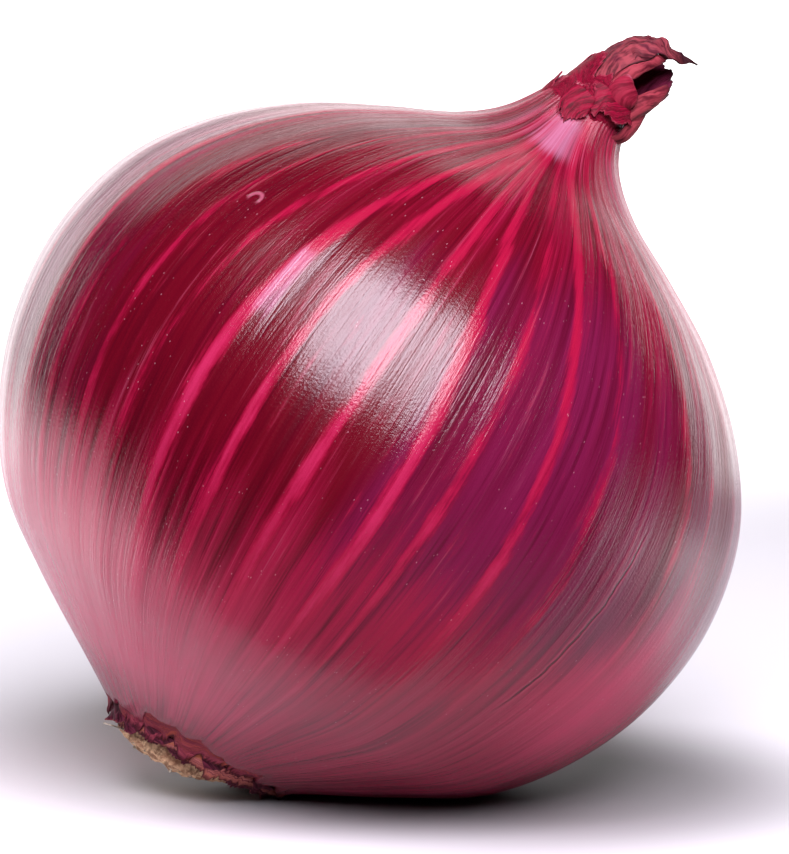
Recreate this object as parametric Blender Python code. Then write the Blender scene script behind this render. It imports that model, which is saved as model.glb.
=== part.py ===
"""A red onion lying on the flank of its bulb: the bulb in its dry skin, the torn scales at its neck,
the frill of skin round its base, and the corky root plate. Metres, +Z up."""

import math
import random

import bmesh
import bpy
from mathutils import Matrix, Vector

MM = 0.001
GAP = 0.3  # mm left between neighbouring solids
SEED = 11

# How the onion lies: its axis leans this far from upright towards +X, with its widest circle's centre at this
# height
LEAN = math.radians(32.7)
CENTRE_HEIGHT = 36.75  # mm

# The bulb's outline, in mm: distance along the axis from the widest circle (towards the neck), and radius
BULB_OUTLINE = (
    (-39.6, 5.0),
    (-37.4, 9.2),
    (-33.9, 15.4),
    (-29.6, 22.6),
    (-24.4, 29.9),
    (-17.0, 35.4),
    (-8.0, 39.0),
    (2.0, 40.0),
    (12.0, 37.8),
    (20.0, 32.6),
    (26.5, 25.4),
    (31.0, 17.9),
    (34.5, 11.2),
    (38.0, 7.0),
    (42.0, 4.8),
    (46.0, 4.3),
)
RINGS_PER_SPAN = 2
COLUMNS = 96

# Low ribs run from base to neck, and the skin gathers into pleats where it narrows
RIBS = 22
RIB_HEIGHT = 0.28
RIB_WIDTH = math.radians(4.0)
PLEATS = 13
PLEAT_HEIGHT = 0.2
OUT_OF_ROUND = 0.006

# The neck bends towards the lean above this station
BEND_START = 38.0
BEND_RATE = 0.022  # mm of offset for each square mm of height

# The bulb's two ends: flat faces that the neck scales, the frill and the root plate sit against
NECK_END = 44.0
BASE_END = -36.4
BASE_SLOPE = 0.07  # the base end rises towards the lower side of the lying onion

# The outer skin ends round the neck in a ragged cuff: its inner face, and its teeth
# (azimuth in degrees, half width in degrees, share of the length, outward flare)
SKIN_THICKNESS = 0.6
CUFF_PATH = ((5.7, 38.9), (5.0, 41.0), (4.85, 43.0), (5.0, 45.2))
CUFF_TEETH = (
    (352, 26, 0.98, 0.9),
    (28, 18, 0.62, 0.4),
    (66, 22, 0.50, 0.2),
    (104, 20, 0.74, 0.5),
    (141, 17, 0.48, 0.2),
    (176, 22, 0.66, 0.3),
    (212, 18, 0.56, 0.5),
    (243, 21, 0.70, 0.7),
    (283, 24, 0.80, 0.4),
    (318, 15, 0.52, 0.6),
)
CUFF_SHORTEST = 0.38

# The layer under it goes on up as a crown round the inner scales, tall on the onion's upper side
CROWN_PATH = ((4.0, 43.2), (3.98, 45.0), (4.0, 48.2))
CROWN_TEETH = (
    (200, 40, 1.0, 0.1),
    (160, 24, 0.86, 0.2),
    (118, 26, 0.6, 0.3),
    (78, 20, 0.5, 0.1),
    (30, 30, 0.44, 0.5),
    (300, 26, 0.4, 0.2),
    (236, 18, 0.7, 0.3),
)
CROWN_SHORTEST = 0.3

# The neck's inner scales: a short core, and blades that stand round a hollow above it
CORE_RADIUS = 3.3
CORE_TOP = 45.8
SCALE_THICKNESS = 0.65
SCALE_ROOT = NECK_END + GAP + 0.1

# The frill: torn skin round the root plate. Its inner face and its teeth, as for the cuff
FRILL_BASE_OUTER = 10.4
FRILL_BASE_DEPTH = 0.55
FRILL_PATH = ((8.6, -0.45), (8.5, -1.0), (8.2, -1.7), (7.7, -2.8))
FRILL_TEETH = (
    (184, 9, 0.86, 0.5),
    (206, 13, 1.0, 0.2),
    (229, 11, 0.84, 0.1),
    (250, 12, 0.5, 0.6),
    (268, 9, 0.62, 0.1),
    (286, 12, 0.44, 0.7),
    (306, 10, 0.56, 0.3),
    (327, 12, 0.42, 0.6),
    (350, 14, 0.3, 0.2),
    (16, 12, 0.32, 0.5),
    (38, 11, 0.4, 0.3),
    (60, 12, 0.58, 0.6),
    (84, 13, 0.5, 0.2),
    (108, 10, 0.7, 0.5),
    (132, 13, 0.62, 0.1),
    (158, 12, 0.9, 0.4),
)
FRILL_SHORTEST = 0.16
# Lifted flaps over it: azimuth in degrees, half width, length, outward flare
FRILL_FLAPS = (
    (196, 1.5, 2.0, 0.7),
    (240, 1.9, 1.3, 1.1),
    (277, 1.4, 1.1, 0.9),
    (313, 1.8, 1.0, 0.8),
    (70, 1.7, 1.3, 0.9),
    (118, 1.4, 1.6, 1.0),
    (155, 1.8, 1.5, 0.6),
)

# The root plate: a corky plug with the stubs of dried roots, and one root that was left longer
PLATE_RADIUS = 7.1
PLATE_BOTTOM = -40.0
PLATE_WEAR_START = -3.0  # the plate is worn away from here towards the lower side
PLATE_WEAR = 0.024
PLATE_RINGS = 8
PLATE_COLUMNS = 40
ROOT_STUBS = 24
STUB_RADIUS = (0.36, 0.6)
STUB_LENGTH = (0.3, 1.0)
STUB_SIDES = 6
LONG_ROOT = ((-5.2, -1.6, -38.9), (-7.4, -2.3, -39.7), (-8.9, -2.5, -39.9))
LONG_ROOT_RADIUS = 0.32


def placement():
    """The matrix that takes the onion's own frame (mm along its axis) to the world, in metres."""
    lift = Matrix.Translation((0, 0, CENTRE_HEIGHT * MM))
    return lift @ Matrix.Rotation(LEAN, 4, "Y")


def smooth_curve(points, per_span):
    """Points on a Catmull-Rom curve through the given points, per_span of them for each span."""
    ends = [points[0], *points, points[-1]]
    curve = []
    for i in range(len(points) - 1):
        a, b, c, d = (Vector(p) for p in ends[i : i + 4])
        for k in range(per_span):
            t = k / per_span
            curve.append(
                0.5
                * (2 * b + (c - a) * t + (2 * a - 5 * b + 4 * c - d) * t**2 + (3 * b - a - 3 * c + d) * t**3)
            )
    curve.append(Vector(points[-1]))
    return curve


def ramp(x, low, high):
    """0 below low, 1 above high, and smooth between."""
    t = min(1.0, max(0.0, (x - low) / (high - low)))
    return t * t * (3 - 2 * t)


def bend(station):
    """How far the neck's centre has moved towards the lean at this station."""
    return BEND_RATE * max(0.0, station - BEND_START) ** 2


def base_end(x):
    """The station of the bulb's base end at this distance towards the lower side."""
    return BASE_END + BASE_SLOPE * x


def rib_angles():
    """Each rib's azimuth and height, unevenly spaced."""
    draw = random.Random(SEED)
    step = 2 * math.pi / RIBS
    return [(step * (i + draw.uniform(-0.3, 0.3)), RIB_HEIGHT * draw.uniform(0.5, 1.0)) for i in range(RIBS)]


def relief(azimuth, station, ribs):
    """The skin's height over its plain outline, in mm: ribs on the belly and pleats at the neck."""
    height = 0.0
    for angle, tall in ribs:
        off = math.remainder(azimuth - angle, 2 * math.pi)
        height += tall * math.exp(-((off / RIB_WIDTH) ** 2))
    on_belly = ramp(station, -37, -24) * (1 - ramp(station, 26, 36))
    on_neck = ramp(station, 30, 37) * (1 - ramp(station, 40, 43))
    pleat = math.sin(PLEATS * azimuth + 1.3 * math.sin(2 * azimuth))
    return height * on_belly + PLEAT_HEIGHT * pleat * on_neck


def mesh_object(name, vertices, faces):
    """An object from points in mm and faces, in the onion's own frame, with its faces pointing outwards."""
    mesh = bpy.data.meshes.new(name)
    mesh.from_pydata([Vector(v) * MM for v in vertices], [], faces)
    mesh.validate()
    shape = bmesh.new()
    shape.from_mesh(mesh)
    bmesh.ops.recalc_face_normals(shape, faces=shape.faces)
    shape.to_mesh(mesh)
    shape.free()
    made = bpy.data.objects.new(name, mesh)
    bpy.context.scene.collection.objects.link(made)
    return made


def skin_of_rings(rings):
    """Faces that join rings of equal length into one closed skin, with a flat face at each end."""
    count = len(rings[0])
    vertices = [point for ring in rings for point in ring]
    faces = [tuple(reversed(range(count)))]
    for r in range(len(rings) - 1):
        for c in range(count):
            after = (c + 1) % count
            faces.append((r * count + c, r * count + after, (r + 1) * count + after, (r + 1) * count + c))
    faces.append(tuple(range((len(rings) - 1) * count, len(rings) * count)))
    return vertices, faces


def cut_flat(made, point, normal):
    """Takes away what lies past a plane, given in mm in the onion's frame, and closes the cut."""
    shape = bmesh.new()
    shape.from_mesh(made.data)
    everything = shape.verts[:] + shape.edges[:] + shape.faces[:]
    cut = bmesh.ops.bisect_plane(
        shape, geom=everything, plane_co=Vector(point) * MM, plane_no=normal, clear_outer=True
    )
    rim = [e for e in cut["geom_cut"] if isinstance(e, bmesh.types.BMEdge)]
    bmesh.ops.contextual_create(shape, geom=rim)
    bmesh.ops.recalc_face_normals(shape, faces=shape.faces)
    shape.to_mesh(made.data)
    shape.free()


def blade(name, azimuth, spine, half_width, cup, thickness, across=4, along=5, ragged=None, tip=0.12):
    """A thin scale whose spine, a list of (distance from the neck's centre, station), lies in the plane
    at this azimuth. It is cupped round the neck with radius cup, and narrows to tip of its width.
    ragged gives, for each column, how much of the length is torn off."""
    side = Vector((-math.sin(azimuth), math.cos(azimuth), 0))
    out = Vector((math.cos(azimuth), math.sin(azimuth), 0))
    path = smooth_curve(spine, 12)
    torn = ragged or [0.0] * (across + 1)

    def spine_at(share):
        place = share * (len(path) - 1)
        low = min(int(place), len(path) - 2)
        return path[low].lerp(path[low + 1], place - low), (path[low + 1] - path[low]).normalized()

    layers = []
    for offset in (-thickness / 2, thickness / 2):
        grid = []
        for j in range(along + 1):
            for i in range(across + 1):
                share = j / along * (1 - torn[i])
                (reach, station), (run, rise) = spine_at(share)
                width = half_width * (tip + (1 - tip) * (1 - share**2.2) ** 0.6)
                turn = (2 * i / across - 1) * width / cup
                normal = out * rise - Vector((0, 0, 1)) * run
                base = out * reach + Vector((bend(station), 0, station))
                face = normal * math.cos(turn) + side * math.sin(turn)
                curl = side * math.sin(turn) * cup - normal * (1 - math.cos(turn)) * cup
                grid.append(base + curl + face * offset)
        layers.append(grid)
    return mesh_object(name, layers[0] + layers[1], blade_faces(across, along))


def blade_faces(across, along):
    """The triangles of two like grids and of the rim between them, split alike on both faces."""
    wide = across + 1
    back = wide * (along + 1)
    faces = []
    for j in range(along):
        for i in range(across):
            a, b = j * wide + i, j * wide + i + 1
            c, d = b + wide, a + wide
            faces += [(a, c, b), (a, d, c)]
            faces += [(a + back, b + back, c + back), (a + back, c + back, d + back)]
    rim = [i for i in range(wide)]
    rim += [j * wide + across for j in range(1, along + 1)]
    rim += [along * wide + i for i in reversed(range(across))]
    rim += [j * wide for j in reversed(range(1, along))]
    for k, a in enumerate(rim):
        b = rim[(k + 1) % len(rim)]
        faces += [(a, b, b + back), (a, b + back, a + back)]
    return faces


def torn_length(azimuth, teeth, shortest):
    """The share of a sleeve's length that is left at this azimuth, and its outward flare there."""
    left, flare = shortest, 0.0
    for degrees, half_width, share, lift in teeth:
        off = abs(math.remainder(azimuth - math.radians(degrees), 2 * math.pi)) / math.radians(half_width)
        tall = shortest + (share - shortest) * max(0.0, 1 - off**1.5)
        left = max(left, tall)
        flare += lift * max(0.0, 1 - off**2)
    return left, flare


def torn_sleeve(name, path, teeth, shortest, floor, columns=60, levels=4):
    """A thin sleeve round the axis with a torn free end. path gives its inner face, rooted end first,
    as (radius, height above floor), and floor gives the station of height 0 at a distance x."""
    fine = smooth_curve(path, 8)
    layers = []
    for offset in (0, SKIN_THICKNESS):
        for j in range(levels + 1):
            for c in range(columns):
                azimuth = 2 * math.pi * c / columns
                left, flare = torn_length(azimuth, teeth, shortest)
                share = j / levels * left
                place = share * (len(fine) - 1)
                low = min(int(place), len(fine) - 2)
                radius, height = fine[low].lerp(fine[low + 1], place - low)
                radius += offset + flare * share**2
                x = radius * math.cos(azimuth)
                station = floor(x) + height
                layers.append((bend(station) + x, radius * math.sin(azimuth), station))
    faces = []
    outer = columns * (levels + 1)
    for c in range(columns):
        after = (c + 1) % columns
        for j in range(levels):
            a, b = j * columns + c, j * columns + after
            d, e = a + columns, b + columns
            faces += [(a, b, e), (a, e, d)]
            faces += [(a + outer, e + outer, b + outer), (a + outer, d + outer, e + outer)]
        for row in (0, levels * columns):
            a, b = row + c, row + after
            faces += [(a, b, b + outer), (a, b + outer, a + outer)]
    return mesh_object(name, layers, faces)


def join(body, pieces):
    """Fuses pieces into body with one Boolean union, and removes them."""
    group = bpy.data.collections.new(body.name + "_pieces")
    bpy.context.scene.collection.children.link(group)
    for piece in pieces:
        group.objects.link(piece)
        bpy.context.scene.collection.objects.unlink(piece)
    union = body.modifiers.new("union", "BOOLEAN")
    union.operation = "UNION"
    union.operand_type = "COLLECTION"
    union.collection = group
    union.solver = "EXACT"
    bpy.context.view_layer.objects.active = body
    bpy.ops.object.modifier_apply(modifier=union.name)
    for piece in pieces:
        bpy.data.objects.remove(piece)
    bpy.data.collections.remove(group)


def bulb():
    """The bulb and its neck, ribbed and pleated, with the skin's torn cuff and crown."""
    ribs = rib_angles()
    rings = []
    for station, radius in smooth_curve(BULB_OUTLINE, RINGS_PER_SPAN):
        ring = []
        for c in range(COLUMNS):
            azimuth = 2 * math.pi * c / COLUMNS
            lobes = math.cos(2 * azimuth + 0.7) + math.cos(3 * azimuth + 2.1) / 2
            lobed = 1 + OUT_OF_ROUND * lobes
            reach = radius * lobed + relief(azimuth, station, ribs)
            ring.append((bend(station) + reach * math.cos(azimuth), reach * math.sin(azimuth), station))
        rings.append(ring)
    made = mesh_object("bulb", *skin_of_rings(rings))
    cut_flat(made, (0, 0, NECK_END), (0, 0, 1))
    cut_flat(made, (0, 0, BASE_END), (BASE_SLOPE, 0, -1))
    cuff = torn_sleeve("cuff", CUFF_PATH, CUFF_TEETH, CUFF_SHORTEST, lambda x: 0)
    crown = torn_sleeve("crown", CROWN_PATH, CROWN_TEETH, CROWN_SHORTEST, lambda x: 0)
    join(made, [cuff, crown])
    to_own_frame = placement().inverted()
    ground_point = (to_own_frame @ Vector((0, 0, 0))) / MM
    cut_flat(made, ground_point, to_own_frame.to_3x3() @ Vector((0, 0, -1)))
    return made


def neck_scales():
    """The dry inner scales: a hood that arches over the hollow, its back wall, lower lip and front folds."""
    draw = random.Random(SEED + 2)
    rings = []
    low = NECK_END + GAP
    core = (
        (low, CORE_RADIUS - 0.2),
        (low + 0.5, CORE_RADIUS),
        (CORE_TOP - 0.5, CORE_RADIUS),
        (CORE_TOP, 2.5),
    )
    for station, radius in core:
        ring = [2 * math.pi * c / 24 for c in range(24)]
        rings.append([(bend(station) + radius * math.cos(a), radius * math.sin(a), station) for a in ring])
    made = mesh_object("neck_scales", *skin_of_rings(rings))

    def torn_edge(count, most):
        return [draw.uniform(0, most) for _ in range(count + 1)]

    hood = [(3.2, SCALE_ROOT), (3.2, 47.6), (2.9, 50.6), (1.0, 52.6), (-2.2, 53.0), (-4.7, 52.2)]
    back_wall = [(3.25, SCALE_ROOT), (3.2, 47.0), (3.1, 50.6)]
    lower_lip = [(3.2, SCALE_ROOT), (3.25, 46.8), (3.7, 49.6)]
    front_fold = [(3.25, SCALE_ROOT), (3.3, 45.4), (4.2, 47.4)]
    side_fold = [(3.25, SCALE_ROOT), (3.3, 46.6), (3.9, 49.0)]
    pieces = [
        blade("hood", math.radians(182), hood, 3.6, 3.3, SCALE_THICKNESS, across=8, along=14, tip=0.1),
        blade("back_wall", math.radians(92), back_wall, 3.3, 3.3, SCALE_THICKNESS, 10, 6,
              torn_edge(10, 0.22), tip=0.75),
        blade("lower_lip", math.radians(8), lower_lip, 2.6, 3.3, SCALE_THICKNESS, 6, 6,
              torn_edge(6, 0.2), tip=0.5),
        blade("front_fold", math.radians(262), front_fold, 2.8, 3.4, SCALE_THICKNESS, 6, 5,
              torn_edge(6, 0.25), tip=0.35),
        blade("side_fold", math.radians(222), side_fold, 2.0, 3.5, SCALE_THICKNESS, 5, 5,
              torn_edge(5, 0.3), tip=0.3),
    ]
    join(made, pieces)
    return made


def root_frill():
    """The torn skin round the root plate: a ring against the bulb, its ragged edge, and lifted flaps."""
    top, low = -GAP, -GAP - FRILL_BASE_DEPTH
    inner = FRILL_PATH[0][0]
    section = ((inner - 0.3, top), (FRILL_BASE_OUTER, top), (FRILL_BASE_OUTER - 0.9, low), (inner - 0.3, low))
    columns = 48
    vertices = []
    for c in range(columns):
        a = 2 * math.pi * c / columns
        for radius, depth in section:
            x = radius * math.cos(a)
            vertices.append((x, radius * math.sin(a), base_end(x) + depth))
    faces = []
    for c in range(columns):
        for k in range(4):
            here, after = c * 4, (c + 1) % columns * 4
            faces.append((here + k, here + (k + 1) % 4, after + (k + 1) % 4, after + k))
    made = mesh_object("root_frill", vertices, faces)
    pieces = [torn_sleeve("edge", FRILL_PATH, FRILL_TEETH, FRILL_SHORTEST, base_end, columns=96, levels=3)]
    for degrees, half_width, length, flare in FRILL_FLAPS:
        azimuth = math.radians(degrees)
        root = base_end(9.5 * math.cos(azimuth)) - GAP - 0.3
        spine = [(9.2, root), (9.35, root - 0.5), (9.2 + flare, root - 0.5 - length)]
        flap = blade("flap", azimuth, spine, half_width, 9.2, SKIN_THICKNESS, across=4, along=3, tip=0.15)
        pieces.append(flap)
    join(made, pieces)
    return made


def plate_bottom(x, y):
    """The station of the root plate's underside, bumpy, rounded at the rim and worn on the lower side."""
    worn = PLATE_WEAR * max(0.0, x - PLATE_WEAR_START) ** 2
    rounded = 0.7 * (math.hypot(x, y) / PLATE_RADIUS) ** 6
    bumps = 0.22 * math.sin(1.9 * x + 0.6) * math.cos(2.3 * y) + 0.12 * math.sin(3.7 * y + 1.1 * x)
    return PLATE_BOTTOM + worn + rounded + bumps


def root_plate():
    """The corky plate that the roots grew from, their dried stubs, and one longer dried root."""
    draw = random.Random(SEED + 4)
    edge = [1 + draw.uniform(-0.03, 0.02) for _ in range(PLATE_COLUMNS)]
    rings = []
    for k in range(1, PLATE_RINGS + 1):
        ring = []
        for c in range(PLATE_COLUMNS):
            a = 2 * math.pi * c / PLATE_COLUMNS
            radius = PLATE_RADIUS * edge[c] * (k / PLATE_RINGS) ** 0.8
            x, y = radius * math.cos(a), radius * math.sin(a)
            ring.append((x, y, plate_bottom(x, y)))
        rings.append(ring)
    rings.append([(x, y, base_end(x) - GAP) for x, y, _ in rings[-1]])
    made = mesh_object("root_plate", *skin_of_rings(rings))
    pieces = [dried_root([Vector(p) for p in LONG_ROOT], LONG_ROOT_RADIUS)]
    golden = math.pi * (3 - math.sqrt(5))
    for i in range(ROOT_STUBS):
        reach = 0.9 * PLATE_RADIUS * math.sqrt((i + 0.5) / ROOT_STUBS)
        x, y = reach * math.cos(i * golden), reach * math.sin(i * golden)
        length = draw.uniform(*STUB_LENGTH) * (1 - 0.7 * ramp(x, -2, 6))
        splay = Vector((0.08 * x + draw.uniform(-0.2, 0.2), 0.08 * y + draw.uniform(-0.2, 0.2), -1)) * length
        start = Vector((x, y, plate_bottom(x, y)))
        line = [start + Vector((0, 0, 0.8)), start + splay * 0.5, start + splay]
        pieces.append(dried_root(line, draw.uniform(*STUB_RADIUS)))
    join(made, pieces)
    return made


def dried_root(line, radius):
    """A dried root along three points: a peg that narrows a little towards its broken tip."""
    along = (line[-1] - line[0]).normalized()
    side = along.orthogonal().normalized()
    other = along.cross(side)
    rings = []
    for point, share in zip(line, (1.0, 0.95, 0.7)):
        ring = []
        for c in range(STUB_SIDES):
            a = 2 * math.pi * c / STUB_SIDES
            ring.append(point + (side * math.cos(a) + other * math.sin(a)) * radius * share)
        rings.append(ring)
    return mesh_object("dried_root", *skin_of_rings(rings))


def material(name, colour, roughness):
    made = bpy.data.materials.new(name)
    made.use_nodes = True
    surface = made.node_tree.nodes["Principled BSDF"]
    surface.inputs["Base Color"].default_value = (*colour, 1)
    surface.inputs["Roughness"].default_value = roughness
    surface.inputs["Metallic"].default_value = 0
    made.diffuse_color = (*colour, 1)
    return made


def main():
    for old in list(bpy.data.objects):
        bpy.data.objects.remove(old)
    axis = bpy.data.objects.new("onion_axis", None)
    bpy.context.scene.collection.objects.link(axis)
    axis.matrix_world = placement()
    parts = (
        (bulb, material("glossy_skin", (0.25, 0.012, 0.05), 0.32)),
        (neck_scales, material("dry_neck", (0.30, 0.035, 0.05), 0.6)),
        (root_frill, material("torn_skin", (0.10, 0.012, 0.03), 0.6)),
        (root_plate, material("corky_plate", (0.42, 0.28, 0.14), 0.85)),
    )
    for build, finish in parts:
        made = build()
        made.data.materials.clear()
        made.data.materials.append(finish)
        made.data.shade_smooth()
        made.data.set_sharp_from_angle(angle=math.radians(40))
        made.parent = axis


main()
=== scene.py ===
"""The looks of a red onion that lies on its flank: its glossy streaked skin, the torn scales at its neck,
the frill of dark skin round its base and the corky root plate, on a pale floor in soft studio light."""

import math
import random

import bpy
import numpy as np
from mathutils import Matrix, Quaternion, Vector, noise


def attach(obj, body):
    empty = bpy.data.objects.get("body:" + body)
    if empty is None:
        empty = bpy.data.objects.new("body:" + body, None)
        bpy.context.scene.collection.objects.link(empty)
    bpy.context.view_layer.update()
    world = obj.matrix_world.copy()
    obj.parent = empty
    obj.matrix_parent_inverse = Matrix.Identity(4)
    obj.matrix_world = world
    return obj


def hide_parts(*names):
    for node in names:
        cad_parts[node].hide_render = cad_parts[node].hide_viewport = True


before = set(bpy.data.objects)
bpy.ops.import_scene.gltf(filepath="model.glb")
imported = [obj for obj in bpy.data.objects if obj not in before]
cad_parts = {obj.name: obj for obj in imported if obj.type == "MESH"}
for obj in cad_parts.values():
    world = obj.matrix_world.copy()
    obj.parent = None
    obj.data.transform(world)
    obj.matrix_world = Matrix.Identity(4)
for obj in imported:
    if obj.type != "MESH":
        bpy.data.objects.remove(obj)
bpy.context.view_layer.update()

MM = 0.001
SEED = 11

# How the onion lies, as in its solids: lean of its axis towards +X, and height of its widest circle's centre
LEAN = math.radians(32.7)
CENTRE_HEIGHT = 36.75  # mm

# The bulb's outline: distance along the axis from the widest circle, towards the neck, and radius, in mm
BULB_OUTLINE = (
    (-39.6, 5.0), (-37.4, 9.2), (-33.9, 15.4), (-29.6, 22.6), (-24.4, 29.9), (-17.0, 35.4), (-8.0, 39.0),
    (2.0, 40.0), (12.0, 37.8), (20.0, 32.6), (26.5, 25.4), (31.0, 17.9), (34.5, 11.2), (38.0, 7.0),
    (42.0, 4.8), (46.0, 4.3),
)
SKIN_COLUMNS = 512
SKIN_ROWS_PER_SPAN = 10
GIRTH = 40.0  # mm: the radius that places round the skin are measured on
OUT_OF_ROUND = 0.006

# Low veins, where the streaks are, and pleats where the skin gathers at the neck. A band is the stations
# where a thing starts, is full, is full for the last time, and ends.
VEIN_HEIGHT = 0.28
VEIN_SPREAD = 4.0  # degrees
VEIN_BAND = (-37, -24, 26, 36)
PLEATS = 13
PLEAT_HEIGHT = 0.1
PLEAT_BAND = (30, 37, 40, 43)
FINE_PLEATS = 67
FINE_PLEAT_HEIGHT = 0.03
DENT = 0.16
DENT_SIZE = 7.0

# The torn hem of the outermost skin round the base
HEM_TOP = -33.9
HEM_ROWS = 26
HEM_TEETH = 27
HEM_SHORTEST = -0.5  # mm below the bulb's end
HEM_RAISED = 1.1  # mm higher at the front of the base
HEM_RAISED_PLACES = ((0, 0), (180, 0), (222, 0.1), (236, 0.9), (262, 1), (290, 0.8), (320, 0.1))
HEM_LIFT = 0.22
HEM_RADIUS = 11.0
SKIN_THICKNESS = 0.2
# Under its hem the skin turns in: mm narrower than the hem, and mm over the bulb's end, or level with the hem
INNER_RINGS = ((3.0, 0.25), (0.9, 0.2), (SKIN_THICKNESS, None))

# How the neck bends towards the lean, where the bulb ends, and the gap between its solid and the next
BEND_START = 38.0
BEND_RATE = 0.022
NECK_END = 44.0
BASE_END = -36.4
BASE_SLOPE = 0.07
END_RADIUS = 10.5
GAP = 0.3

# Bright veins on the side that faces the camera: azimuths in degrees at the stations 30, 10, -10 and -27,
# half width in mm, and strength near the neck, on the belly and near the base
VEIN_STATIONS = (30, 10, -10, -27)
VEINS = (
    (214, 206, 203, 205, 0.7, 0.4, 0.35, 0.75),
    (219, 214, 212.5, 213, 0.55, 0.5, 0.55, 0.6),
    (229, 223.5, 221.5, 223, 0.6, 0.6, 0.5, 0.4),
    (238.5, 232, 230, 232, 0.85, 1.0, 1.0, 0.75),
    (245, 240.5, 240, 240, 0.75, 0.8, 0.8, 0.7),
    (252, 252, 251, 251.3, 0.8, 0.7, 0.95, 0.85),
    (257, 262, 263, 261, 0.85, 0.75, 1.0, 0.9),
    (266, 270, 270, 270, 0.65, 0.5, 0.7, 0.8),
    (274, 280.3, 282, 283, 0.8, 1.0, 0.85, 0.3),
    (284, 290.5, 292.5, 295, 0.75, 0.6, 0.6, 0.3),
    (300, 309.5, 310, 307, 0.9, 0.5, 0.6, 0.35),
    (311, 317, 318, 315, 0.8, 0.4, 0.45, 0.3),
    (322, 329, 329, 325, 0.9, 0.4, 0.5, 0.4),
)
HIDDEN_VEINS = (336, 556, 21)  # first and last azimuth, and how many, round the far side

# How purple the ground is, at these azimuths
PURPLE = (
    (0, 0.55), (30, 0.7), (70, 0.35), (110, 0.6), (150, 0.3), (185, 0.6), (205, 0.3), (222, 0.05), (248, 0.1),
    (262, 0.5), (278, 0.95), (300, 0.75), (325, 0.3),
)

# How crimson the ground is towards the neck and towards the base, where its rise on the lower right is
# painted light, how pale it is near the base, partly its own paleness and partly a painted reflection of the
# floor and painted light, the share of that which is gone again at the very base, and from how far below the
# widest circle it is pale, in mm
ROSY_NECK = (
    (0, 0.5), (90, 0.6), (180, 0.5), (215, 0.4), (250, 0.4), (262, 0.5), (292, 0.5), (312, 0.8), (330, 1.0),
)
ROSY_BASE_AND_PAINTED_LIGHT = ((0, 0.7), (90, 0.5), (180, 0.6), (230, 0.7), (262, 0.8), (290, 1.2), (312, 1.6), (330, 1.3))
PALE_BASE_AND_PAINTED_HAZE = ((0, 0.7), (90, 0.6), (180, 1.1), (222, 0.95), (250, 0.7), (280, 0.35), (300, 0.9), (318, 1.7))
PALE_LOST = ((0, 0.4), (60, 0), (270, 0), (290, 0.6), (305, 0.85), (330, 0.7))
PALE_FROM = ((0, 0), (90, 10), (180, 4), (215, 6), (240, 10), (280, 10), (300, 0), (318, -22))

# Dry pale patches at the foot of the neck, the one at 252 degrees also a painted highlight, and a thin
# painted highlight along the vein at 232.5 degrees on the belly: azimuth, half width, lowest and highest
# station, and strength
DRY_AND_HIGHLIGHT_PATCHES = (
    (252, 19, 35.6, 40.4, 0.8),
    (215, 12, 34, 40, 0.3),
    (30, 20, 34, 40, 0.5),
    (95, 24, 33, 40, 0.6),
    (160, 20, 35, 40, 0.4),
    (315, 12, 34, 39, 0.3),
    (232.5, 1.8, 5.5, 13.5, 0.6),
)

# A small hooked scar: azimuth, station and radius in mm
SCAR = (218, 14.8, 0.75)

# A thin dry split in the skin: azimuth at the widest circle, its slope, and the stations where it runs
SPLIT_AZIMUTH = 301.6
SPLIT_SLOPE = -0.07  # mm sideways for each mm along
SPLIT_STATIONS = (-18.0, 8.5)

# The torn cuff and crown at the neck: inner face as (radius, station), and teeth as
# (azimuth in degrees, half width in degrees, share of the length, outward flare)
CUFF_PATH = ((6.0, 38.4), (5.05, 40.6), (4.75, 42.6), (4.6, 44.6))
CUFF_TEETH = (
    (352, 22, 0.86, 0.3), (28, 18, 0.66, 0.4), (66, 22, 0.70, 0.2), (104, 20, 0.84, 0.5),
    (141, 17, 0.68, 0.2), (176, 22, 0.9, 0.2), (212, 20, 0.94, 0.1), (243, 24, 0.98, 0.1),
    (283, 24, 0.80, 0.1), (318, 15, 0.62, 0.2),
)
CUFF_SHORTEST = 0.5
CROWN_PATH = ((4.15, 43.4), (4.0, 45.0), (3.9, 48.2))
CROWN_TEETH = (
    (200, 40, 1.0, 0.1), (160, 24, 0.86, 0.2), (118, 26, 0.6, 0.3), (78, 20, 0.5, 0.1), (30, 30, 0.44, 0.3),
    (300, 26, 0.4, 0.1), (244, 26, 0.72, 0.0),
)
CROWN_SHORTEST = 0.3
SLEEVE_THICKNESS = 0.25

# The scales at the neck, each as rails from its root to its free end, of points
# (towards the lean, sideways, station) in mm
HOOD = (
    ((-0.4, 2.4, 45.6), (-0.2, 2.9, 47.6), (0.9, 3.0, 49.6), (2.6, 2.5, 51.2), (5.2, 1.1, 51.7),
     (7.7, -0.7, 52.5)),
    ((-1.6, 1.0, 45.6), (-0.9, 1.4, 48.4), (0.1, 1.4, 50.3), (1.9, 1.2, 52.0), (4.8, 0.2, 52.1),
     (7.8, -0.8, 52.5)),
    ((-1.8, -0.6, 45.6), (-0.5, -0.3, 48.9), (0.4, -0.5, 50.5), (2.4, -0.6, 52.2), (3.6, -0.8, 52.9),
     (4.3, -0.9, 52.3), (7.9, -0.9, 52.7)),
    ((-1.3, -2.2, 45.4), (-0.2, -2.3, 48.2), (1.0, -2.3, 50.2), (2.7, -2.1, 51.6), (5.3, -1.6, 51.8),
     (7.8, -1.0, 52.6)),
    ((-0.1, -3.2, 45.3), (0.6, -3.4, 47.4), (1.5, -3.3, 48.7), (2.5, -3.0, 50.0), (3.6, -2.6, 51.0),
     (5.7, -1.8, 51.3), (7.7, -1.0, 52.5)),
)
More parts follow.
